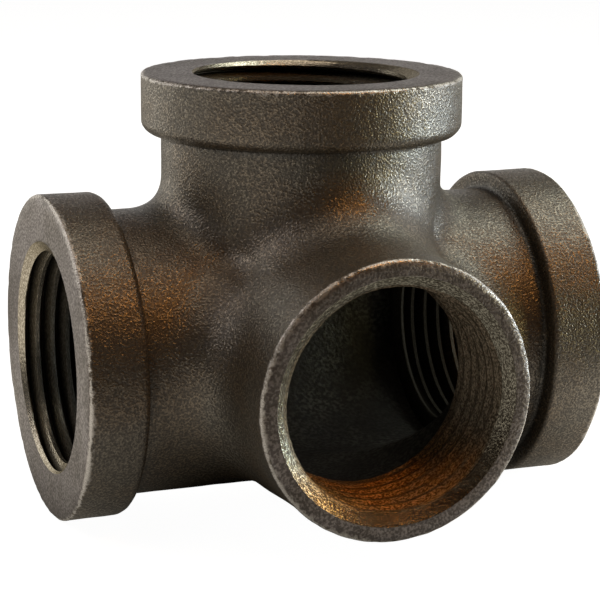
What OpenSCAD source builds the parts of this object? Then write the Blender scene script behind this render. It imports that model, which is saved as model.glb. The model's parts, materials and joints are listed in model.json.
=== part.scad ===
// Side outlet tee: a malleable-iron pipe fitting with four tapped ports on three axes.
// Run along X (left and right ports), branch up Z, side outlet toward -Y.
// Origin: the point where the three port axes cross. Units: mm.
// The real part is one casting. The thread zones are nodes of their own because they are cut surfaces.

/* [Run and branch] */
// Centre to face of the left and right ports
run_end = 38.1; // [32:0.1:48]
// Centre to face of the top port
top_end = 38.5; // [32:0.1:48]
// Outside diameter of the reinforcing bands
band_od = 45.5; // [42:0.1:52]
// Length of each band along its port
band_w = 8.4; // [6:0.1:11]
// Outside diameter of the necks between the bands
neck_od = 40.3; // [38:0.1:44]
// Rounding of a band where it meets the port face
band_front_round = 0.9; // [0.3:0.1:1.5]
// Rounding of a band on its inner side
band_back_round = 1.5; // [0.5:0.1:2]
// Hollow rounding between neck and band
band_cove = 0.8; // [0.3:0.1:1.2]

/* [Side outlet] */
// Centre to face of the side outlet
side_end = 36.6; // [32:0.1:46]
// Outside diameter of the plain collar at its face
collar_od = 37.9; // [36.5:0.1:42]
// Outside diameter of the collar where it leaves the hub
collar_root_od = 39.8; // [38:0.1:42]
// Rounding of the collar at its face
collar_round = 0.6; // [0.2:0.1:1]

/* [Tapped ports] */
// Bore inside the thread crests
crest_d = 29.7; // [28:0.1:31]
// Diameter across the thread roots at the port face
root_d = 33.2; // [32:0.1:34]
// Diameter of the countersink at the port face
mouth_d = 31.8; // [30.5:0.1:33]
// Thread length of the left and right ports
thread_len = 15.2; // [12:0.1:18]
// Thread length of the top port
top_thread_len = 15.6; // [12:0.1:18]
// Thread length of the side outlet
side_thread_len = 13.8; // [10:0.1:16]

/* [Waterway] */
// Inside diameter of the cored run behind the threads
core_d = 34; // [33.4:0.1:35]

/* [Hidden] */
$fn = 96;
side_core_d = core_d - 0.3;
top_core_d = core_d - 0.6;
top_neck_od = neck_od - 0.3;
band_r = band_od / 2;
neck_r = neck_od / 2;
top_neck_r = top_neck_od / 2;
collar_r = collar_od / 2;
collar_root_r = collar_root_od / 2;
crest_r = crest_d / 2;
root_r = root_d / 2;
mouth_r = mouth_d / 2;
mouth_depth = mouth_r - crest_r;
iron = [0.30, 0.27, 0.24];
cut_metal = [0.55, 0.52, 0.48];

// Points of an arc from angle a to angle b.
function arc(x, y, r, a, b, steps) =
    [for (i = [0:steps]) [x + r * cos(a + (b - a) * i / steps), y + r * sin(a + (b - a) * i / steps)]];

// Outline of one banded end, from the neck outward to its face at height e.
function band_outline(neck, e) = concat(
    arc(neck + band_cove, e - band_w - band_cove, band_cove, 180, 90, 5),
    arc(band_r - band_back_round, e - band_w + band_back_round, band_back_round, -90, 0, 6),
    arc(band_r - band_front_round, e - band_front_round, band_front_round, 0, 90, 5)
);

// The same outline seen from the other end of the run.
function mirrored(points) = [for (i = [len(points) - 1:-1:0]) [points[i][0], -points[i][1]]];

module run_solid() {
    rotate([0, 90, 0])
        rotate_extrude()
            polygon(concat([[0, run_end]], [[0, -run_end]],
                mirrored(band_outline(neck_r, run_end)),
                band_outline(neck_r, run_end)));
}

module branch_solid() {
    rotate_extrude()
        polygon(concat([[0, top_end]], [[0, 1]], [[top_neck_r, 1]],
            band_outline(top_neck_r, top_end)));
}

// The plain collar flares gently from its face back to the hub.
module collar_solid() {
    flare = collar_root_r - collar_r;
    rotate([90, 0, 0])
        rotate_extrude()
            polygon(concat([[0, side_end]], [[0, 2]],
                [[collar_root_r, 2]],
                [[collar_root_r, 20]],
                [[collar_r + flare * 0.55, 24.5]],
                [[collar_r + flare * 0.2, 29.5]],
                [[collar_r, 34]],
                arc(collar_r - collar_round, side_end - collar_round, collar_round, 0, 90, 4)));
}

// Cored waterways, and the pockets that the thread zones fill.
module run_bore() {
    rotate([0, 90, 0])
        cylinder(h = 2 * (run_end - thread_len), d = core_d, center = true);
    for (s = [-1, 1])
        rotate([0, 90 * s, 0])
            translate([0, 0, run_end - thread_len - 0.5])
                cylinder(h = thread_len + 1.5, d = root_d);
}

module branch_bore() {
    cylinder(h = top_end - top_thread_len, d = top_core_d);
    translate([0, 0, top_end - top_thread_len - 0.5])
        cylinder(h = top_thread_len + 1.5, d = root_d);
}

module side_bore() {
    rotate([90, 0, 0]) {
        cylinder(h = side_end - side_thread_len, d = side_core_d);
        translate([0, 0, side_end - side_thread_len - 0.5])
            cylinder(h = side_thread_len + 1.5, d = root_d);
    }
}

module cast_body() {
    color(iron)
        difference() {
            union() {
                run_solid();
                branch_solid();
                collar_solid();
            }
            run_bore();
            branch_bore();
            side_bore();
        }
}

// A tapped zone: roots outside, crests inside, a countersink at the face. Its face is at height e.
module thread_zone(e, length) {
    color(cut_metal)
        rotate_extrude()
            polygon([
                [crest_r, e - length],
                [root_r, e - length],
                [root_r, e],
                [mouth_r, e],
                [crest_r, e - mouth_depth]
            ]);
}

module left_thread() {
    rotate([0, -90, 0])
        thread_zone(run_end, thread_len);
}

module right_thread() {
    rotate([0, 90, 0])
        thread_zone(run_end, thread_len);
}

module top_thread() {
    thread_zone(top_end, top_thread_len);
}

module side_thread() {
    rotate([90, 0, 0])
        thread_zone(side_end, side_thread_len);
}

cast_body();
left_thread();
right_thread();
top_thread();
side_thread();
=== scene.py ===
# %% [markdown]
# # Side outlet tee
# A side outlet tee joins pipes on three axes. It is poured in one piece of malleable iron, in a
# sand mould, and then a lathe faces its ports and a tap cuts the threads. The model follows the
# same order: the cast skin first, the machined faces next, and the threads last.

import json
import math

import bmesh
import bpy
import numpy as np
from mathutils import Matrix, Vector, noise


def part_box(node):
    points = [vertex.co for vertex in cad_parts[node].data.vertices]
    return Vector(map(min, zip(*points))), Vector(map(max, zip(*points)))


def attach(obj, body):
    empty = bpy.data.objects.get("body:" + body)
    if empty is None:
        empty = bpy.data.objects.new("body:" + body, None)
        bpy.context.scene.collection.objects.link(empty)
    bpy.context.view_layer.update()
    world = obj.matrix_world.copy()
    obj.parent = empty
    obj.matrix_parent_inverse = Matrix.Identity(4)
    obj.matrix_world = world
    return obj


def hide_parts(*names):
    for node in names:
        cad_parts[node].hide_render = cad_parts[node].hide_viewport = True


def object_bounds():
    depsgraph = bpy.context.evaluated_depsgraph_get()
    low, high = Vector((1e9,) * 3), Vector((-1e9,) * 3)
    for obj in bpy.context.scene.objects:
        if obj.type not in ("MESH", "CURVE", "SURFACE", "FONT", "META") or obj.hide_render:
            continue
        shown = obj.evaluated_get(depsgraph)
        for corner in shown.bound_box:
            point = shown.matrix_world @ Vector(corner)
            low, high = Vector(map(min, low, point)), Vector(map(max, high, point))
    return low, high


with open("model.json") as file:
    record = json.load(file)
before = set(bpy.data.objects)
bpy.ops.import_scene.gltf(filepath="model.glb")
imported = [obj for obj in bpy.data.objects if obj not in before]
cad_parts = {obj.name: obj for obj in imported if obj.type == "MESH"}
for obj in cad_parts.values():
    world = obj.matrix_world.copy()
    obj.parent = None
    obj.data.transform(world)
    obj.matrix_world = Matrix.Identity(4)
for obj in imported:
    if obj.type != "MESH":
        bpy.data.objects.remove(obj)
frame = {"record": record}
cad_low, cad_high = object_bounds()
MM = 0.001
print("frame box, mm:", [round(v / MM, 2) for v in (*cad_low, *cad_high)])

# %% [markdown]
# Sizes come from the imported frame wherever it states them: how far each port face is from the
# crossing of the axes, how wide the bands are, and how tight the thread crests are.

# %% Read the sizes
run_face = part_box("right_thread")[1].x
top_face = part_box("top_thread")[1].z
side_face = -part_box("side_thread")[0].y
band_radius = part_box("cast_body")[1].y
mounts = {m["name"]: m for m in frame["record"]["mounts"]}
crest_radius = mounts["right_port"]["dims"]["r_mm"] * MM
neck_radius = 20.15 * MM
top_neck_radius = 20.0 * MM
collar_radius = 18.95 * MM
core_radius = 17.05 * MM
side_core_radius = core_radius - 0.1 * MM
band_width = 8.4 * MM
print("faces, mm:", [round(v / MM, 2) for v in (run_face, top_face, side_face)])

# %% [markdown]
# The camera looks a little down on the tee, from the left of the side outlet. A long lens
# gives a gentle perspective, so that the near port isn't drawn much larger than the far one.
# The roll is half a degree, and the target is a little above the crossing of the axes.

# %% Camera
AZIMUTH, ELEVATION, ROLL = math.radians(-20.82), math.radians(13.27), 0.010
DISTANCE = 278.5 * MM
LENS, SENSOR = 114.76, 36
TARGET_RIGHT, TARGET_UP = 0.07 * MM, 5.3 * MM
back = Vector(
    (
        math.sin(AZIMUTH) * math.cos(ELEVATION),
        -math.cos(AZIMUTH) * math.cos(ELEVATION),
        math.sin(ELEVATION),
    )
)
level_right = Vector((math.cos(AZIMUTH), math.sin(AZIMUTH), 0))
level_up = back.cross(level_right)
right = level_right * math.cos(ROLL) + level_up * math.sin(ROLL)
up = level_up * math.cos(ROLL) - level_right * math.sin(ROLL)
target = level_right * TARGET_RIGHT + level_up * TARGET_UP
camera = bpy.data.objects.new("camera", bpy.data.cameras.new("camera"))
camera.data.sensor_width = SENSOR
camera.data.lens = LENS
camera.data.clip_start = 0.01
camera.matrix_world = (
    Matrix.Translation(target + back * DISTANCE)
    @ Matrix((right, up, back)).transposed().to_4x4()
)
bpy.context.scene.collection.objects.link(camera)
bpy.context.scene.camera = camera
print("camera at, mm:", [round(v / MM, 1) for v in camera.location])

# %% [markdown]
# Every port is shaped upright, with its axis along Z, and then turned to where it belongs.
# One table holds what differs from port to port. The left port of this casting was faced
# a degree out of square, as cheap castings often are, so its turn has that lean in it.

# %% The four ports
LEAN = math.radians(1.2)
DRAWN_BACK = 0.17 * MM  # keeps the leaning band inside the frame's box
lean_about = Vector((-run_face, band_radius, 0))
left_lean = (
    Matrix.Translation(lean_about - Vector((0, DRAWN_BACK, 0)))
    @ Matrix.Rotation(LEAN, 4, "Z")
    @ Matrix.Translation(-lean_about)
)
TURNS = {
    "left": Matrix.Rotation(-math.pi / 2, 4, "Y"),
    "right": Matrix.Rotation(math.pi / 2, 4, "Y"),
    "top": Matrix.Identity(4),
    "side": Matrix.Rotation(math.pi / 2, 4, "X"),
}
PORTS = {name: {"turn": turn, "way": turn @ Vector((0, 0, 1))} for name, turn in TURNS.items()}
PORTS["left"]["turn"] = left_lean @ TURNS["left"]
FACES = {"left": run_face, "right": run_face, "top": top_face, "side": side_face}
NECKS = {"left": neck_radius, "right": neck_radius, "top": top_neck_radius, "side": collar_radius}
CUTS = {"left": 26.6 * MM, "right": 27.0 * MM, "top": 27.4 * MM, "side": 30.0 * MM}
HEELS = {"left": 1.2, "right": 0.7, "top": 1.7, "side": 0}  # rounding behind each band, mm
for name, port in PORTS.items():
    port.update(heel=HEELS[name], face=FACES[name], neck=NECKS[name], cut=CUTS[name])
print({n: round(p["face"] / MM, 2) for n, p in PORTS.items()})

# %% [markdown]
# ## The hub
# Three tubes meet in the hub, and a sand mould leaves a hollow rounding wherever two of them
# cross. A boolean union would leave sharp creases, and a bevel can't follow creases that
# fade out. So the tubes are joined by a voxel remesh, and every point is then drawn onto a
# smooth blend of the three. The blend is widest where the tubes cross at right angles,
# and vanishes where they touch side by side.


# %% Distance to a blend of tubes
FLARE, FLARE_LENGTH = 0.95 * MM, 16.6 * MM
SIDE_BLEND = 1.7  # how much wider than the branch's rounding the side outlet's is


def collar_flare(height):
    """How much wider than at its face the collar is, at a height above the crossing."""
    return FLARE * np.clip((side_face - height) / FLARE_LENGTH, 0, 1) ** 2


def tube(points, way, radius, half):
    """Distance to a tube's wall, and the direction away from its axis."""
    way = np.array(way)
    height = points @ way
    spoke = points - height[:, None] * way
    reach = np.linalg.norm(spoke, axis=1)
    wall = reach - (radius(height) if callable(radius) else radius)
    if half:
        wall = np.maximum(wall, -height)
    return wall, spoke / np.maximum(reach, 1e-9)[:, None]


def blended(a, b, width):
    """A smooth union of two (distance, direction) pairs, widest where they meet squarely."""
    (wall_a, out_a), (wall_b, out_b) = a, b
    square = 1 - np.abs((out_a * out_b).sum(axis=1))
    k = width * square + 1e-7
    share = np.clip(0.5 + 0.5 * (wall_b - wall_a) / k, 0, 1)
    wall = wall_b * (1 - share) + wall_a * share - k * share * (1 - share)
    out = out_a * share[:, None] + out_b * (1 - share)[:, None]
    return wall, out / np.maximum(np.linalg.norm(out, axis=1), 1e-9)[:, None]


def hub_distance(points, shrink, width):
    """Distance to the hub's skin, or to its cored inside when shrink is not 0."""
    run = tube(points, (1, 0, 0), neck_radius - shrink, False)
    branch = tube(points, (0, 0, 1), top_neck_radius - shrink, True)
    if shrink:
        side = tube(points, (0, -1, 0), side_core_radius, True)
    else:
        side = tube(points, (0, -1, 0), lambda h: collar_radius + collar_flare(h), True)
    return blended(blended(run, branch, width), side, width * SIDE_BLEND)[0]


WALL = neck_radius - core_radius
print("wall, mm:", round(WALL / MM, 2))

# %% [markdown]
# The tubes start as plain cones of one radius, closed at both ends. The remesh turns them
# into one skin of even quads, and the points are moved onto the blend in a few rounds.
# Numpy works on all of them at once, which is many times faster than a loop.


# %% Tubes joined by a remesh
def as_object(bm, name):
    """A new object, at the origin, from a bmesh that is freed."""
    mesh = bpy.data.meshes.new(name)
    bm.to_mesh(mesh)
    bm.free()
    made = bpy.data.objects.new(name, mesh)
    bpy.context.scene.collection.objects.link(made)
    return made


def remeshed(bm, voxel):
    """The bmesh's closed shells as one mesh of even quads."""
    rough = as_object(bm, "rough")
    step = rough.modifiers.new("voxels", "REMESH")
    step.mode = "VOXEL"
    step.voxel_size = voxel
    graph = bpy.context.evaluated_depsgraph_get()
    mesh = bpy.data.meshes.new_from_object(rough.evaluated_get(graph), depsgraph=graph)
    bpy.data.objects.remove(rough)
    return mesh


def drawn_on(mesh, shrink, width, rounds=7):
    """Moves every point of the mesh onto the blended tubes, down the slope of the distance."""
    points = np.empty(len(mesh.vertices) * 3)
    mesh.vertices.foreach_get("co", points)
    points = points.reshape(-1, 3)
    tiny, longest = 0.02 * MM, 0.6 * MM
    for _ in range(rounds):
        here = hub_distance(points, shrink, width)
        slope = np.stack(
            [
                hub_distance(points + step, shrink, width)
                - hub_distance(points - step, shrink, width)
                for step in np.eye(3) * tiny
            ],
            axis=1,
        ) / (2 * tiny)
        steep = np.maximum((slope**2).sum(axis=1), 0.2)
        move = -(here / steep)[:, None] * slope
        points += np.clip(move, -longest, longest)
    mesh.vertices.foreach_set("co", points.ravel())
    mesh.update()
    return mesh


# %% One shell of the hub
def hub_shell(shrink, width, voxel):
    """The hub's skin or its inside, open where the four ends will join it."""
    bm = bmesh.new()
    for way, radius, start, end in (
        ("right", neck_radius, -31, 31),
        ("top", top_neck_radius, 0, 31.5),
        ("side", collar_radius + 0.5 * MM, 0, 34),
    ):
        middle = PORTS[way]["turn"] @ Matrix.Translation((0, 0, (start + end) / 2 * MM))
        bmesh.ops.create_cone(
            bm,
            cap_ends=True,
            segments=96,
            radius1=radius - shrink,
            radius2=radius - shrink,
            depth=(end - start) * MM,
            matrix=middle,
        )
    mesh = drawn_on(remeshed(bm, voxel), shrink, width)
    bm = bmesh.new()
    bm.from_mesh(mesh)
    bpy.data.meshes.remove(mesh)
    for port in PORTS.values():
        bmesh.ops.bisect_plane(
            bm,
            geom=bm.verts[:] + bm.edges[:] + bm.faces[:],
            dist=1e-7,
            plane_co=port["way"] * port["cut"],
            plane_no=port["way"],
            clear_outer=True,
        )
    return bm


# %% [markdown]
# The hub is hollow, because a sand core fills its middle while the iron is poured. The inside
# is made the same way as the skin, one wall's thickness smaller, and with coarser quads.

# %% Skin and cored inside
skin_shell = hub_shell(0, 5.2 * MM, 0.55 * MM)
core_shell = hub_shell(WALL, 2.4 * MM, 0.95 * MM)
print("hub faces:", len(skin_shell.faces), "skin,", len(core_shell.faces), "inside")

# %% [markdown]
# ## The ends
# A band, its machined face and the pocket behind the thread are all round, so one outline
# turned about the port's axis makes them. Spin keeps them true circles, which the remesh
# couldn't: the edge between a face and its bore has to stay crisp. The spin is done once
# for each port in a small bmesh of its own, because it slows down in a large one.


# %% Outlines of the ends
def arc(x, y, radius, start, end, steps):
    """Points of an arc, with angles in degrees."""
    angles = [math.radians(start + (end - start) * i / steps) for i in range(steps + 1)]
    return [(x + radius * math.cos(a), y + radius * math.sin(a)) for a in angles]


def evened(points, longest):
    """The outline with its long stretches divided."""
    out = [points[0]]
    for (x0, y0), (x1, y1) in zip(points, points[1:]):
        parts = max(1, math.ceil(math.hypot(x1 - x0, y1 - y0) / longest))
        out += [
            (x0 + (x1 - x0) * i / parts, y0 + (y1 - y0) * i / parts)
            for i in range(1, parts + 1)
        ]
    return out


# %% Band and collar
POCKET = 16.8 * MM
START = 0.5 * MM  # how far above the hub's cut an end begins
SKIN, FACED, CORED = 0, 1, 2  # material numbers on the casting


def banded_outline(port):
    """The cast outside of a banded port, from its neck to the edge of its face."""
    face, neck = port["face"], port["neck"]
    heel, cove, toe = port["heel"] * MM, 0.5 * MM, 0.4 * MM
    foot = face - band_width
    points = [(neck, port["cut"] + START)]
    points += arc(neck + cove, foot - cove, cove, 180, 90, 5)
    points += arc(band_radius - heel, foot + heel, heel, -90, 0, 7)
    points += arc(band_radius - toe, face - toe, toe, 0, 90, 4)
    return evened(points, 0.5 * MM)


def collar_outline(port):
    """The cast outside of the side outlet's plain collar."""
    face, start, toe = port["face"], port["cut"] + START, 0.5 * MM
    heights = [start + (face - toe - start) * i / 10 for i in range(10)]
    points = [(collar_radius + float(collar_flare(h)), h) for h in heights]
    points += arc(collar_radius - toe, face - toe, toe, 0, 90, 4)
    return evened(points, 0.5 * MM)


# %% Spin an end
def turned(outline, steps=256):
    """A bmesh of an outline turned once round Z."""
    bm = bmesh.new()
    line = [bm.verts.new((x, 0, z)) for x, z in outline]
    edges = [bm.edges.new(pair) for pair in zip(line, line[1:])]
    bmesh.ops.spin(
        bm,
        geom=line + edges,
        axis=(0, 0, 1),
        cent=(0, 0, 0),
        angle=math.tau,
        steps=steps,
        use_merge=True,
    )
    return bm


def spun_end(name):
    """One port's end: cast outside, machined face and cored inside, turned to its place."""
    port = PORTS[name]
    outline = banded_outline(port) if name != "side" else collar_outline(port)
    outline += evened([outline[-1], (POCKET, port["face"])], 1.6 * MM)[1:]
    inner = side_core_radius if name == "side" else core_radius
    outline += evened([outline[-1], (inner, port["cut"] + START)], 3 * MM)[1:]
    bm = turned(outline)
    for f in bm.faces:
        middle = f.calc_center_median()
        if middle.z > port["face"] - 0.01 * MM:
            f.material_index = FACED
        elif math.hypot(middle.x, middle.y) < core_radius + 0.1 * MM:
            f.material_index = CORED
    start, foot = port["cut"] + START, port["face"] - band_width
    for v in bm.verts:
        share = min(1.0, max(0.0, (v.co.z - start) / (foot - start)))
        v.co = (TURNS[name] @ v.co).lerp(port["turn"] @ v.co, share if name == "left" else 1.0)
    return bm


# %% [markdown]
# The hub and the four ends are separate shells so far. Each has an open loop where the other
# begins, and bridge_loops fills the half millimetre between them with one strip of faces.


# %% Join the ends to the hub
MID_WALL = 18 * MM  # a loop nearer to its axis than this belongs to the inside


def joined_casting():
    """All six shells in one bmesh, with their open loops bridged."""
    for f in core_shell.faces:
        f.material_index = CORED
    bm = bmesh.new()
    for shell in (skin_shell, core_shell, *map(spun_end, PORTS)):
        part = bpy.data.meshes.new("part")
        shell.to_mesh(part)
        shell.free()
        bm.from_mesh(part)
        bpy.data.meshes.remove(part)
    loops = {(name, inside): [] for name in PORTS for inside in (False, True)}
    for edge in bm.edges:
        if not edge.is_boundary:
            continue
        co = edge.verts[0].co
        name = min(PORTS, key=lambda n: abs(co.dot(PORTS[n]["way"]) - PORTS[n]["cut"]))
        spoke = co - PORTS[name]["way"] * co.dot(PORTS[name]["way"])
        loops[name, spoke.length < MID_WALL].append(edge)
    for (name, inside), edges in loops.items():
        new = bmesh.ops.bridge_loops(bm, edges=edges)["faces"]
        for f in new:
            f.material_index = CORED if inside else SKIN
    bmesh.ops.remove_doubles(bm, verts=bm.verts[:], dist=1e-6)
    bmesh.ops.recalc_face_normals(bm, faces=bm.faces[:])
    return bm


casting = joined_casting()
open_edges = sum(not e.is_manifold for e in casting.edges)
print("casting:", len(casting.faces), "faces,", open_edges, "open edges")

# %% [markdown]
# Sand leaves a skin that is never quite even, and years of rolling about in bins nibble
# the edges of the faces. Both are real shape, so the points are moved: slow waves over the
# skin, lumps in the core, and small bites at the rims. Everything moves into the metal, so
# that the casting stays inside the frame's box. The noise is a fixed pattern of the place,
# so each run gives the same casting.


# %% Cast waves and nibbled rims
RIM_REACH = 1.1 * MM  # how far from a rim's corner the bites go
CORE_ENDS = Vector((23, 24, 24)) * MM  # run, side outlet, branch: the lumps stop here


def wave(co, size, seed):
    """Smooth noise from 0 to 1 with features of about this size."""
    return 0.5 + 0.5 * noise.noise(co / size + Vector((seed, 3.7, 9.1)))


def rim_gap(co, name):
    """How far a point is from the sharp corner of a port's rim."""
    port = PORTS[name]
    at = port["turn"].inverted() @ co
    radius = band_radius if name != "side" else collar_radius
    return math.hypot(math.hypot(at.x, at.y) - radius, at.z - port["face"])


def past_core(co):
    """Whether a point of the inside is so far out that it has to fit round a thread."""
    return abs(co.x) > CORE_ENDS.x or -co.y > CORE_ENDS.y or co.z > CORE_ENDS.z


def weathered(bm):
    """Moves the points inwards, and gives the number of those near a rim."""
    bm.normal_update()
    faced = {v for f in bm.faces if f.material_index == FACED for v in f.verts}
    cored = {v for f in bm.faces if f.material_index == CORED for v in f.verts}
    moves = []
    bites = 0
    for v in bm.verts:
        co = v.co.copy()
        way = -v.normal
        if v in cored:
            if v not in faced and not past_core(co):
                depth = 0.35 * wave(co, 4.5 * MM, 1) + 0.16 * wave(co, 1.6 * MM, 2)
                moves.append((v, way * depth * MM))
            continue
        depth = 0.0
        if v not in faced:
            depth = 0.14 * wave(co, 7 * MM, 3) + 0.07 * wave(co, 2.2 * MM, 4)
        name = max(PORTS, key=lambda n: co.dot(PORTS[n]["way"]) / PORTS[n]["face"])
        gap = rim_gap(co, name)
        if gap < RIM_REACH:
            near = 1 - gap / RIM_REACH
            bite = max(0.0, wave(co, 1.5 * MM, 5) - 0.45) + max(0.0, wave(co, 4 * MM, 6) - 0.6)
            depth += 0.28 * near * bite
            corner = PORTS[name]["way"] * -0.7 + way * 0.7
            way = corner.normalized() if v in faced or gap < 0.8 * MM else way
            bites += 1
        moves.append((v, way * depth * MM))
    for v, move in moves:
        v.co += move
    return bites


print("rim points:", weathered(casting))


# %% [markdown]
# A finished piece rides on the frame's one body, stands for its node, and takes its finish
# from a named slot. Its faces are smooth except across sharp corners.


# %% Finish the casting
def finish_piece(bm, name, node, crisp=40):
    """Smooth faces with crisp edges, as an object in the frame."""
    for f in bm.faces:
        f.smooth = True
    for e in bm.edges:
        e.smooth = e.calc_face_angle(0) < math.radians(crisp)
    made = as_object(bm, name)
    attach(made, "root")
    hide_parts(node)
    return made


body = finish_piece(casting, "casting", "cast_body", 60)
print("casting:", len(body.data.vertices), "points")

# %% [markdown]
# ## The threads
# A tap cuts a taper pipe thread: a V groove wound at 11 1/2 turns to the inch, which gets
# tighter by 1 in 16 as it goes in. One turn is spun with a rise of one pitch, and copies of it
# are stacked, which is much faster than one long spin. The crests are worn flat, as they are on
# a fitting that has been handled.

# %% One turn of the groove
PITCH = 25.4 / 11.5 * MM
TURN_STEPS = 160
ROOT = 16.62 * MM
ROOT_FLAT, CREST_FLAT, FLANK_PARTS = 0.06 * MM, 0.50 * MM, 5


def groove_outline(crest):
    """One pitch of the V, from root to crest and back."""
    flank = (PITCH - 2 * ROOT_FLAT - CREST_FLAT) / 2
    shares = [i / FLANK_PARTS for i in range(1, FLANK_PARTS + 1)]
    top = ROOT_FLAT + flank + CREST_FLAT
    line = [(ROOT, 0.0), (ROOT, ROOT_FLAT)]
    line += [(ROOT + (crest - ROOT) * i, ROOT_FLAT + flank * i) for i in shares]
    line += [(crest, top)]
    line += [(crest + (ROOT - crest) * i, top + flank * i) for i in shares]
    return line + [(ROOT, PITCH)]


def wound(crest, start, turns):
    """A bmesh of the groove wound upwards from a height."""
    bm = bmesh.new()
    line = [bm.verts.new((x, 0, start + z)) for x, z in groove_outline(crest)]
    edges = [bm.edges.new(pair) for pair in zip(line, line[1:])]
    bmesh.ops.spin(
        bm,
        geom=line + edges,
        axis=(0, 0, 1),
        cent=(0, 0, 0),
        dvec=(0, 0, PITCH / TURN_STEPS),
        angle=math.tau,
        steps=TURN_STEPS,
        use_merge=False,
    )
    one_turn = bm.verts[:] + bm.edges[:] + bm.faces[:]
    for i in range(1, turns):
        made = bmesh.ops.duplicate(bm, geom=one_turn)["geom"]
        verts = [v for v in made if isinstance(v, bmesh.types.BMVert)]
        bmesh.ops.translate(bm, vec=(0, 0, PITCH * i), verts=verts)
    bmesh.ops.remove_doubles(bm, verts=bm.verts[:], dist=1e-6)
    return bm


# %% [markdown]
# The winding is trimmed flat at both ends. Then every point is moved along its own radius:
# inwards for the taper, outwards for the countersink at the mouth, and out to the crest where
# the last turn fades into the pocket. The side outlet's tap was blunt, so noise that is
# drawn out round the axis tears its crests.


# %% Trim and shape
def trimmed(bm, low, high):
    """Cuts the winding flat at both ends."""
    for z, way in ((high, 1), (low, -1)):
        bmesh.ops.bisect_plane(
            bm,
            geom=bm.verts[:] + bm.edges[:] + bm.faces[:],
            dist=1e-8,
            plane_co=(0, 0, z),
            plane_no=(0, 0, way),
            clear_outer=True,
        )
    return bm


TAPER = 1 / 32  # the radius lost per length: 1 in 16 on the diameter
RUNOUT, RUNOUT_END = 1.6 * MM, 0.8 * MM  # where the last turn fades
LIP, LIP_LENGTH = 0.8 * MM, 0.7 * MM  # the rounded inner end
TORN_DEPTH = 0.6  # how much of its groove a torn thread keeps
TORN_STREAK = 14  # how much longer round the axis than along it the tears are


def tapered(bm, face, length, crest, mouth, steep, torn):
    """Tightens the thread as it goes in, opens its mouth and fades its last turn."""
    for v in bm.verts:
        depth = face - v.co.z
        reach = math.hypot(v.co.x, v.co.y)
        fade = min(1, max(0, (length - depth - RUNOUT_END) / RUNOUT))
        now = crest - depth * TAPER + (reach - crest) * fade
        now += LIP * max(0, 1 - (length - depth) / LIP_LENGTH) ** 2
        if torn:
            now = crest + (now - crest) * TORN_DEPTH
            drawn = Vector((v.co.x, v.co.y, v.co.z * TORN_STREAK))
            rough = wave(drawn, 5.5 * MM, 7) + 0.6 * wave(v.co, 1.0 * MM, 8) - 0.8
            now += torn * MM * rough
        now = max(now, mouth - depth * steep)
        v.co.x *= now / reach
        v.co.y *= now / reach


# %% [markdown]
# The thread is still an open skin. Its two ends are widened and joined behind it, which makes
# it a closed ring of metal that sits in the pocket of the casting.


# %% Close the back
def closed_back(bm, face, length, wall):
    """Widens both ends to the pocket's wall and joins them behind the thread."""
    rims = []
    for z, radius in ((face, POCKET), (face - length, wall)):
        edges = [
            e
            for e in bm.edges
            if e.is_boundary and all(abs(v.co.z - z) < 1e-7 for v in e.verts)
        ]
        made = bmesh.ops.extrude_edge_only(bm, edges=edges)["geom"]
        for v in made:
            if isinstance(v, bmesh.types.BMVert):
                reach = math.hypot(v.co.x, v.co.y)
                v.co.x *= radius / reach
                v.co.y *= radius / reach
        rims += [e for e in made if isinstance(e, bmesh.types.BMEdge) and e.is_boundary]
    bmesh.ops.bridge_loops(bm, edges=rims)
    bmesh.ops.recalc_face_normals(bm, faces=bm.faces[:])


# %% Cut the four threads
# length and the radius of the mouth in mm, how steep the countersink is, and how torn it is
THREADS = {
    "left": {"length": 16.4, "mouth": 16.15, "steep": 1.25, "torn": 0.0},
    "right": {"length": 16.4, "mouth": 16.15, "steep": 1.25, "torn": 0.0},
    "top": {"length": 16.4, "mouth": 15.5, "steep": 1.25, "torn": 0.0},
    "side": {"length": 14.0, "mouth": 16.7, "steep": 1.65, "torn": 0.26},
}
METAL, RING_FACE = 0, 1  # material numbers on a thread
CLEARANCE = 0.05 * MM  # the crests stay this clear of the plain bore


def cut_thread(name, length, mouth, steep, torn):
    """One port's thread as a closed ring of metal."""
    port = PORTS[name]
    face, length, crest = port["face"], length * MM, crest_radius + CLEARANCE
    turns = math.ceil(length / PITCH) + 3
    bm = wound(crest, face - length - 1.5 * PITCH, turns)
    trimmed(bm, face - length, face)
    tapered(bm, face, length, crest, mouth * MM, steep, torn)
    closed_back(bm, face, length, core_radius + 0.02 * MM)
    for f in bm.faces:
        flat = face - f.calc_center_median().z < 0.01 * MM
        f.material_index = RING_FACE if flat else METAL
    bmesh.ops.transform(bm, matrix=port["turn"], verts=bm.verts[:])
    closed = all(e.is_manifold for e in bm.edges)
    print(name, "thread:", len(bm.faces), "faces, closed", closed)
    return finish_piece(bm, name + "_thread_cut", name + "_thread", 35)


threads = [cut_thread(name, **spec) for name, spec in THREADS.items()]

# %% [markdown]
# ## Finishes
# Every finish is built from noise on Object coordinates, so it stays with the metal from any
# side. Two effects are shared: the grain that sand leaves, and a broken line round a circle,
# for worn rims and for painted shade in corners. Each is a node group, with its own values in
# each material.


# %% Helpers for shader nodes
def feed(tree, socket, value):
    """Links another node's output to a socket, or sets the socket to a plain value."""
    if isinstance(value, bpy.types.NodeSocket):
        tree.links.new(value, socket)
    else:
        socket.default_value = value


def add(tree, kind, inputs=None, **settings):
    """A shader node with its settings and its inputs, which may be values or other outputs."""
    made = tree.nodes.new("ShaderNode" + kind)
    for name, value in settings.items():
        setattr(made, name, value)
    for name, value in (inputs or {}).items():
        feed(tree, made.inputs[name], value)
    return made


def calc(tree, operation, *values):
    """The output of a Math node."""
    return add(tree, "Math", dict(enumerate(values)), operation=operation).outputs[0]


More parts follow.
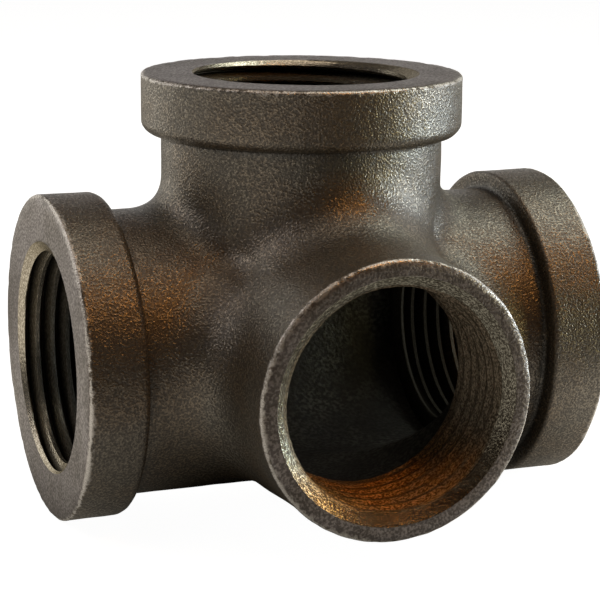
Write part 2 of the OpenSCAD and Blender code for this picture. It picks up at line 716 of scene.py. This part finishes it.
def radial(tree, a, b):
    """How far a point is from an axis, from its two distances across it."""
    squares = [calc(tree, "MULTIPLY", part, part) for part in (a, b)]
    return calc(tree, "SQRT", calc(tree, "ADD", *squares))


def ramp(tree, value, low, high, to_low=0.0, to_high=1.0):
    """A value moved from one range to another, eased and clamped."""
    return add(
        tree,
        "MapRange",
        {"Value": value, "From Min": low, "From Max": high, "To Min": to_low, "To Max": to_high},
        interpolation_type="SMOOTHSTEP",
    ).outputs["Result"]


def rough_noise(tree, where, scale, detail=2.0, roughness=0.5):
    """The height of a noise."""
    inputs = {"Vector": where, "Scale": scale, "Detail": detail, "Roughness": roughness}
    return add(tree, "TexNoise", inputs).outputs["Fac"]


def mixed(tree, share, a, b):
    """A colour between two colours."""
    made = tree.nodes.new("ShaderNodeMix")
    made.data_type = "RGBA"
    feed(tree, made.inputs[0], share)
    for index, colour in ((6, a), (7, b)):
        plain = isinstance(colour, tuple)
        feed(tree, made.inputs[index], (*colour, 1) if plain else colour)
    return made.outputs[2]


# %% Helpers for node groups
def new_group(name, inputs, outputs):
    """An empty node group, its tree, its inputs' node and its outputs' node."""
    tree = bpy.data.node_groups.new(name, "ShaderNodeTree")
    for label, kind in inputs.items():
        tree.interface.new_socket(label, in_out="INPUT", socket_type="NodeSocket" + kind)
    for label in outputs:
        tree.interface.new_socket(label, in_out="OUTPUT", socket_type="NodeSocketFloat")
    inside = tree.nodes.new("NodeGroupInput").outputs
    return tree, inside, tree.nodes.new("NodeGroupOutput").inputs


def use_group(tree, group, inputs):
    """The outputs of a group that is placed in a material with its own values."""
    made = tree.nodes.new("ShaderNodeGroup")
    made.node_tree = group
    for label, value in inputs.items():
        feed(tree, made.inputs[label], value)
    return made.outputs


# %% [markdown]
# Sand grain is lumps a third of a millimetre across on broader, softer ones. The group gives
# its height for the bump, a mask of the highest grains, which are rubbed bright, and slow
# patches where the skin is browner.

# %% The sand grain group
grain_tree, grain_in, grain_out = new_group(
    "sand_grain", {"Place": "Vector", "Size": "Float"}, ["Height", "Tips", "Patches"]
)
BROAD_SCALE, PATCH_SCALE = 0.55, 0.11  # per mm


def scaled(tree, where, scale):
    """A place with all three of its parts multiplied."""
    return add(tree, "VectorMath", {0: where, "Scale": scale}, operation="SCALE").outputs[0]


in_mm = scaled(grain_tree, grain_in["Place"], 1 / MM)
per_grain = calc(grain_tree, "DIVIDE", 1.0, grain_in["Size"])
lumps = rough_noise(grain_tree, scaled(grain_tree, in_mm, per_grain), 1.0)
broad = rough_noise(grain_tree, in_mm, BROAD_SCALE)
patches = rough_noise(grain_tree, in_mm, PATCH_SCALE, 3.0, 0.6)
fine_part = calc(grain_tree, "MULTIPLY", lumps, 0.7)
broad_part = calc(grain_tree, "MULTIPLY", broad, 0.3)
feed(grain_tree, grain_out["Height"], calc(grain_tree, "ADD", fine_part, broad_part))
feed(grain_tree, grain_out["Tips"], ramp(grain_tree, lumps, 0.40, 0.66))
feed(grain_tree, grain_out["Patches"], ramp(grain_tree, patches, 0.35, 0.68))
print("group:", grain_tree.name, len(grain_tree.nodes), "nodes")

# %% [markdown]
# Rims rub bright where they knock against other fittings. The group measures the distance
# to one circle from how far along and across its axis a point is, and breaks the line up
# with two noises: a fine one for its edge, and a slow one that widens and narrows it.

# %% The rim wear and crease shade group
RIM_INPUTS = ("Along", "Across A", "Across B", "Face", "Radius", "Width")
rim_tree, rim_in, rim_out = new_group(
    "rim_wear_and_crease_shade", {"Place": "Vector", **dict.fromkeys(RIM_INPUTS, "Float")}, ["Mask"]
)
from_axis = radial(rim_tree, rim_in["Across A"], rim_in["Across B"])
out_by = calc(rim_tree, "SUBTRACT", from_axis, rim_in["Radius"])
up_by = calc(rim_tree, "SUBTRACT", rim_in["Along"], rim_in["Face"])
uneven = rough_noise(rim_tree, rim_in["Place"], 1400.0, 2.0, 0.6)
stretches = rough_noise(rim_tree, rim_in["Place"], 120.0, 1.0)
edge_share = ramp(rim_tree, uneven, 0.3, 0.7, 0.1, 1.3)
slow_share = ramp(rim_tree, stretches, 0.35, 0.65, -0.3, 0.5)
share_here = calc(rim_tree, "ADD", edge_share, slow_share)
width_here = calc(rim_tree, "MULTIPLY", rim_in["Width"], share_here)
width_here = calc(rim_tree, "MAXIMUM", width_here, 1e-6)
off_line = calc(rim_tree, "DIVIDE", radial(rim_tree, out_by, up_by), width_here)
feed(rim_tree, rim_out["Mask"], ramp(rim_tree, off_line, 1.0, 0.1))
print("group:", rim_tree.name, len(rim_tree.nodes), "nodes")

# %% [markdown]
# The same group marks two things. Narrow and set in a little from the corner, it is the wear
# on a port's rim. Wide and at the foot of a band, it is painted shade in that corner.
# The left face leans, so its rim is measured along the leaning axis.


# %% Rims and creases
def place(tree):
    """The point's place on the object, and its three parts."""
    where = add(tree, "TexCoord").outputs["Object"]
    parts = add(tree, "SeparateXYZ", {0: where}).outputs
    return where, parts["X"], parts["Y"], parts["Z"]


def along_run(tree, where, x):
    """How far out along the run a point is, with the lean of the left face allowed for."""
    *way, shift = PORTS["left"]["turn"].inverted()[2]
    out_left = add(tree, "VectorMath", {0: where, 1: way}, operation="DOT_PRODUCT")
    return calc(tree, "MAXIMUM", x, calc(tree, "ADD", out_left.outputs["Value"], shift))


def circle_mask(tree, where, *measures):
    """The mask of the group for rim wear and painted crease shade, for one circle."""
    inputs = dict(zip(RIM_INPUTS, measures))
    return use_group(tree, rim_tree, {"Place": where, **inputs})["Mask"]


def all_rims(tree, where, x, y, z, width=0.56 * MM, inset=0.15 * MM):
    """Wear at the rims of all four ports."""
    run, out = along_run(tree, where, x), calc(tree, "MULTIPLY", y, -1.0)
    run_rim, top_rim, side_rim = (
        circle_mask(tree, where, along, a, b, face - inset, radius - inset, width)
        for along, a, b, face, radius in (
            (run, y, z, run_face, band_radius),
            (z, x, y, top_face, band_radius),
            (out, x, z, side_face, collar_radius),
        )
    )
    return calc(tree, "MAXIMUM", calc(tree, "MAXIMUM", run_rim, top_rim), side_rim)


def band_crease_shade(tree, where, x, y, z, width=1.5 * MM):
    """Painted shade in the corners where the bands rise from their necks."""
    run_foot, top_foot = run_face - band_width, top_face - band_width
    run = along_run(tree, where, x)
    on_run = circle_mask(tree, where, run, y, z, run_foot, neck_radius, width)
    on_top = circle_mask(tree, where, z, x, y, top_foot, top_neck_radius, width)
    return calc(tree, "MAXIMUM", on_run, on_top)


# %% Helpers for materials
WORN_METAL = (0.66, 0.63, 0.61)


def new_material(name):
    """A material, its tree and its Principled BSDF."""
    material = bpy.data.materials.new(name)
    material.use_nodes = True
    return material, material.node_tree, material.node_tree.nodes["Principled BSDF"]


def bump(tree, height, strength, distance):
    """A normal that a height tilts."""
    inputs = {"Height": height, "Strength": strength, "Distance": distance}
    return add(tree, "Bump", inputs).outputs["Normal"]


def wire(tree, shader, **sockets):
    """Feeds a shader's sockets. An underscore stands for a space in a socket's name."""
    for label, value in sockets.items():
        feed(tree, shader.inputs[label.replace("_", " ")], value)


# %% [markdown]
# The cast skin is black iron oxide with an oil film: dark brown-grey, half metallic, with
# grains that catch the light one by one. The bump is strong and the finish fairly glossy, so
# that a highlight falls apart into sparks. Rims are worn to metal, and the corners behind the
# bands are darkened with painted shade.

# %% Cast skin
skin, tree, shader = new_material("sand_cast_skin")
where, x, y, z = place(tree)
sand = use_group(tree, grain_tree, {"Place": where, "Size": 0.30})
worn = all_rims(tree, where, x, y, z)
hollow = mixed(tree, sand["Patches"], (0.040, 0.030, 0.020), (0.048, 0.032, 0.018))
raised = mixed(tree, sand["Patches"], (0.190, 0.163, 0.124), (0.200, 0.148, 0.094))
with_tips = mixed(tree, sand["Tips"], hollow, raised)
# painted shade: the corners at the feet of the bands are darkened to near black
crease_shade = calc(tree, "MULTIPLY", band_crease_shade(tree, where, x, y, z), 0.85)
with_crease_shade = mixed(tree, crease_shade, with_tips, (0.018, 0.014, 0.011))
by_grain = ramp(tree, sand["Tips"], 0.0, 1.0, 0.43, 0.24)
wire(
    tree,
    shader,
    Base_Color=mixed(tree, worn, with_crease_shade, WORN_METAL),
    Metallic=0.5,
    Roughness=calc(tree, "SUBTRACT", by_grain, calc(tree, "MULTIPLY", worn, 0.05)),
    IOR=2.4,
    Normal=bump(tree, sand["Height"], 1.0, 0.18 * MM),
)
print("material:", skin.name, len(tree.nodes), "nodes")

# %% [markdown]
# The faces were turned on a lathe and have since dulled to a purplish grey, mottled where
# the skin of the casting was only just skimmed.

# %% Faced iron
faced, tree, shader = new_material("faced_iron")
where, x, y, z = place(tree)
sand = use_group(tree, grain_tree, {"Place": where, "Size": 0.34})
worn = all_rims(tree, where, x, y, z)
bare = mixed(tree, sand["Tips"], (0.150, 0.134, 0.137), (0.365, 0.335, 0.340))
stain = mixed(tree, sand["Tips"], (0.095, 0.082, 0.075), (0.250, 0.222, 0.215))
dull = mixed(tree, sand["Patches"], bare, stain)
wire(
    tree,
    shader,
    Base_Color=mixed(tree, worn, dull, WORN_METAL),
    Metallic=0.7,
    Roughness=ramp(tree, sand["Height"], 0.35, 0.65, 0.50, 0.36),
    IOR=1.8,
    Normal=bump(tree, sand["Height"], 0.8, 0.16 * MM),
)
print("material:", faced.name, len(tree.nodes), "nodes")

# %% [markdown]
# Inside, the core left a coarser skin, with scale and dust on it that swallow the light.

# %% Cored inside
cored, tree, shader = new_material("cored_skin")
where, *_ = place(tree)
sand = use_group(tree, grain_tree, {"Place": where, "Size": 0.55})
crust = mixed(tree, sand["Patches"], (0.028, 0.025, 0.021), (0.100, 0.101, 0.085))
wire(
    tree,
    shader,
    Base_Color=mixed(tree, sand["Tips"], (0.022, 0.020, 0.017), crust),
    Metallic=0.3,
    Roughness=ramp(tree, sand["Height"], 0.3, 0.7, 0.75, 0.5),
    Normal=bump(tree, sand["Height"], 0.7, 0.35 * MM),
)
print("material:", cored.name, len(tree.nodes), "nodes")

# %% [markdown]
# A cut thread is bare metal on its crests, with painted shade in its grooves. How far a point
# is from its port's axis tells a crest from a groove, and the crests are darker and rougher the
# further in they are. The countersink at the mouth is the brightest part. The side outlet's
# thread
# is torn, so it has no clean crests: it is one rough, pale brown metal. Its low side is orange,
# partly rust where water stood in it and partly painted glints of the orange lamp.

# %% Metal of the threads
CLEAN = {
    "mouth": ((0.36, 0.325, 0.265), (0.70, 0.645, 0.555)),
    # painted shade: the groove colours of a clean thread
    "groove": ((0.026, 0.023, 0.018), (0.038, 0.033, 0.027)),
    "edge": (0.35, 0.33, 0.28, 1),
    "metallic": 0.9,
    "grain": 0.4,
    "relief": 0.10 * MM,
}
TORN = {
    "mouth": ((0.12, 0.108, 0.085), (0.56, 0.54, 0.46)),
    "groove": ((0.10, 0.082, 0.060), (0.40, 0.33, 0.25)),
    "edge": (0.8, 0.78, 0.7, 1),
    "metallic": 0.85,
    "grain": 0.34,
    "relief": 0.26 * MM,
}
# colours of the crests further in, darker than near the mouth
DEEP_CREST = ((0.036, 0.032, 0.026), (0.062, 0.056, 0.047))
DULL_ROUGH, BRIGHT_ROUGH, GROOVE_ROUGH = 0.85, 0.26, 0.50
DRAWN_OUT = 2.2  # how much the grain is squeezed along the axis by the tap
print("grain, mm:", CLEAN["grain"], "on a clean thread,", TORN["grain"], "on the torn one")


def rust_and_glints(tree, colour, x, z, sand, countersink):
    """Orange on the low part of the side outlet, partly rust and partly painted glints of the
    orange lamp, turned dark brown where it reaches the mouth except towards the left.
    """
    low_down = ramp(tree, z, -5 * MM, -13 * MM, 0.0, 0.85)
    # rust and painted orange glints, stronger towards the bottom
    rust_and_glint_share = calc(tree, "MULTIPLY", low_down, ramp(tree, sand["Patches"], 0.0, 0.5, 0.55, 1.0))
    to_left = ramp(tree, x, -9 * MM, -3 * MM, 0.0, 0.85)
    # dark brown where the orange reaches the mouth, fading out towards the left
    mouth_darkening = calc(tree, "MULTIPLY", countersink, to_left)
    rust_and_glint_colour = mixed(tree, sand["Tips"], (0.16, 0.075, 0.024), (0.80, 0.43, 0.15))
    return mixed(tree, rust_and_glint_share, colour, mixed(tree, mouth_darkening, rust_and_glint_colour, (0.060, 0.044, 0.030)))


# %% Cut threads
def thread_finish(name):
    """The metal of one port's thread."""
    look = TORN if name == "side" else CLEAN
    material, tree, shader = new_material(name + "_thread_metal")
    where, x, y, z = place(tree)
    axis, face = tuple(PORTS[name]["way"]), PORTS[name]["face"]
    out_by = add(tree, "VectorMath", {0: where, 1: axis}, operation="DOT_PRODUCT")
    along = out_by.outputs["Value"]
    countersink = ramp(tree, along, face - 1.3 * MM, face - 0.9 * MM)
    squeeze = tuple(1 + DRAWN_OUT * abs(part) for part in axis)
    streaked = add(tree, "VectorMath", {0: where, 1: squeeze}, operation="MULTIPLY")
    sand = use_group(tree, grain_tree, {"Place": streaked.outputs[0], "Size": look["grain"]})
    metal = mixed(tree, sand["Tips"], *look["mouth"])
    groove = calc(tree, "SUBTRACT", 1.0, countersink)
    if name != "side":
        outer = ramp(tree, along, face - 9 * MM, face - 1 * MM)
        metal = mixed(tree, outer, mixed(tree, sand["Tips"], *DEEP_CREST), metal)
        from_axis = radial(tree, y, x if name == "top" else z)
        root = ramp(tree, from_axis, crest_radius + 0.45 * MM, ROOT - 0.1 * MM)
        groove = calc(tree, "MULTIPLY", root, groove)
    # on a clean thread the groove colour is painted shade; on the torn one it is its own metal
    colour = mixed(tree, groove, metal, mixed(tree, sand["Tips"], *look["groove"]))
    rough = ramp(tree, groove, 0.0, 1.0, BRIGHT_ROUGH, GROOVE_ROUGH)
    if name == "side":
        colour = rust_and_glints(tree, colour, x, z, sand, countersink)
    else:
        dulled = ramp(tree, outer, 0.0, 0.7, DULL_ROUGH, BRIGHT_ROUGH)
        rough = calc(tree, "MAXIMUM", dulled, rough)
    wire(
        tree,
        shader,
        Base_Color=colour,
        Metallic=look["metallic"],
        Specular_Tint=look["edge"],
        Roughness=rough,
        Normal=bump(tree, sand["Height"], 0.7, look["relief"]),
    )
    return material


for piece, name in zip(threads, THREADS):
    piece.data.materials.append(thread_finish(name))
    piece.data.materials.append(faced)
for material in (skin, faced, cored):
    body.data.materials.append(material)
print("slots:", {o.name: [m.name for m in o.data.materials] for o in (body, *threads)})

# %% [markdown]
# ## The studio
# The fitting stands on white paper, and all round it is white. The paper looks white to the
# camera but gives less light back to the iron than real paper would, or the underside would
# be as bright as the top. What it gives isn't even: none from right under the fitting, a pool
# of it all round, and more from the right and from far to the left. A Light Path node
# sends camera rays to the white and all other rays to this weaker glow.

# %% Floor
WHITE, GLOW = 0.97, 0.86
bm = bmesh.new()
bmesh.ops.create_grid(bm, x_segments=1, y_segments=1, size=3)
floor = as_object(bm, "floor")
floor.location.z = cad_low.z
paper, tree, shader = new_material("paper")
wire(tree, shader, Base_Color=(0.3, 0.3, 0.3, 1), Roughness=0.9)
wire(tree, shader, Emission_Color=(1, 1, 1, 1), Emission_Strength=WHITE)
where, x, y, z = place(tree)
from_middle = radial(tree, x, y)
out_of_shadow = ramp(tree, from_middle, 16 * MM, 78 * MM)
pool = ramp(tree, from_middle, 85 * MM, 125 * MM, 1.0, 0.13)
in_front = ramp(tree, y, -70 * MM, -20 * MM, 0.40, 1.0)
to_right = ramp(tree, x, 20 * MM, 60 * MM, 1.0, 1.7)
to_left = ramp(tree, x, -50 * MM, -110 * MM)
near = calc(tree, "MULTIPLY", calc(tree, "MULTIPLY", pool, in_front), to_right)
glow = calc(tree, "MULTIPLY", out_of_shadow, calc(tree, "MAXIMUM", near, to_left))
strength = calc(tree, "MULTIPLY", glow, GLOW)
dim = add(tree, "Emission", {"Color": (1.0, 0.92, 0.78, 1), "Strength": strength})
for_camera = add(tree, "LightPath").outputs["Is Camera Ray"]
seen = add(tree, "MixShader", {0: for_camera, 1: dim.outputs[0], 2: shader.outputs[0]})
feed(tree, tree.nodes["Material Output"].inputs["Surface"], seen.outputs[0])
floor.data.materials.append(paper)
print("floor at, mm:", round(floor.location.z / MM, 2))

# %% World
SURROUND = (0.004, 0.004, 0.004)
world = bpy.data.worlds.new("studio")
bpy.context.scene.world = world
world.use_nodes = True
tree = world.node_tree
for_camera = add(tree, "LightPath").outputs["Is Camera Ray"]
sky = mixed(tree, for_camera, SURROUND, (1.0, 1.0, 1.0))
feed(tree, tree.nodes["Background"].inputs["Color"], sky)
bpy.context.scene.view_settings.view_transform = "Standard"
print("world:", world.name, "seen white, lit by", SURROUND[0])

# %% [markdown]
# Ten soft square lamps stand round the fitting. A broad warm one hangs overhead. Most of the
# others are beside it or behind it, so that its edges shine and its middle stays dark. The
# strongest of these is low on the right. One small orange lamp, high on the front right,
# gives the rust-coloured lights on the band, the run and the hub.


# %% Lights
def lamp(name, azimuth, elevation, distance, size, power, colour):
    """A square soft light aimed at the fitting. Azimuth 0 is in front of the side outlet."""
    light = bpy.data.lights.new(name, "AREA")
    light.size = size
    light.energy = power
    light.color = colour
    made = bpy.data.objects.new(name, light)
    a, e = math.radians(azimuth), math.radians(elevation)
    way = Vector((math.sin(a) * math.cos(e), -math.cos(a) * math.cos(e), math.sin(e)))
    made.location = way * distance
    made.rotation_euler = way.to_track_quat("Z", "Y").to_euler()
    made.visible_camera = False
    bpy.context.scene.collection.objects.link(made)


# azimuth and elevation in degrees, distance and size in metres, power in watts, colour
LAMPS = {
    "overhead": (0, 88, 0.9, 0.7, 1.62, (1.0, 0.86, 0.69)),
    "back": (165, 14, 0.5, 0.35, 0.20, (1.0, 0.97, 0.94)),
    "left_back": (-145, 12, 0.5, 0.4, 0.62, (1.0, 0.96, 0.86)),
    "left": (-106, 38, 0.5, 0.22, 0.29, (1.0, 0.92, 0.86)),
    "right": (98, 14, 0.5, 0.35, 0.36, (1.0, 0.98, 0.98)),
    "right_back": (130, 8, 0.5, 0.25, 0.12, (1.0, 1.0, 0.86)),
    "right_high": (100, 52, 0.5, 0.25, 0.64, (0.95, 1.0, 0.88)),
    "right_low": (80, 2, 0.5, 0.15, 1.35, (0.79, 0.93, 1.0)),
    "right_front": (60, 3, 0.5, 0.15, 0.36, (1.0, 0.87, 0.41)),
    "warm_high": (32, 50, 0.5, 0.1, 0.33, (1.0, 0.43, 0.10)),
}
for name, spec in LAMPS.items():
    lamp(name, *spec)
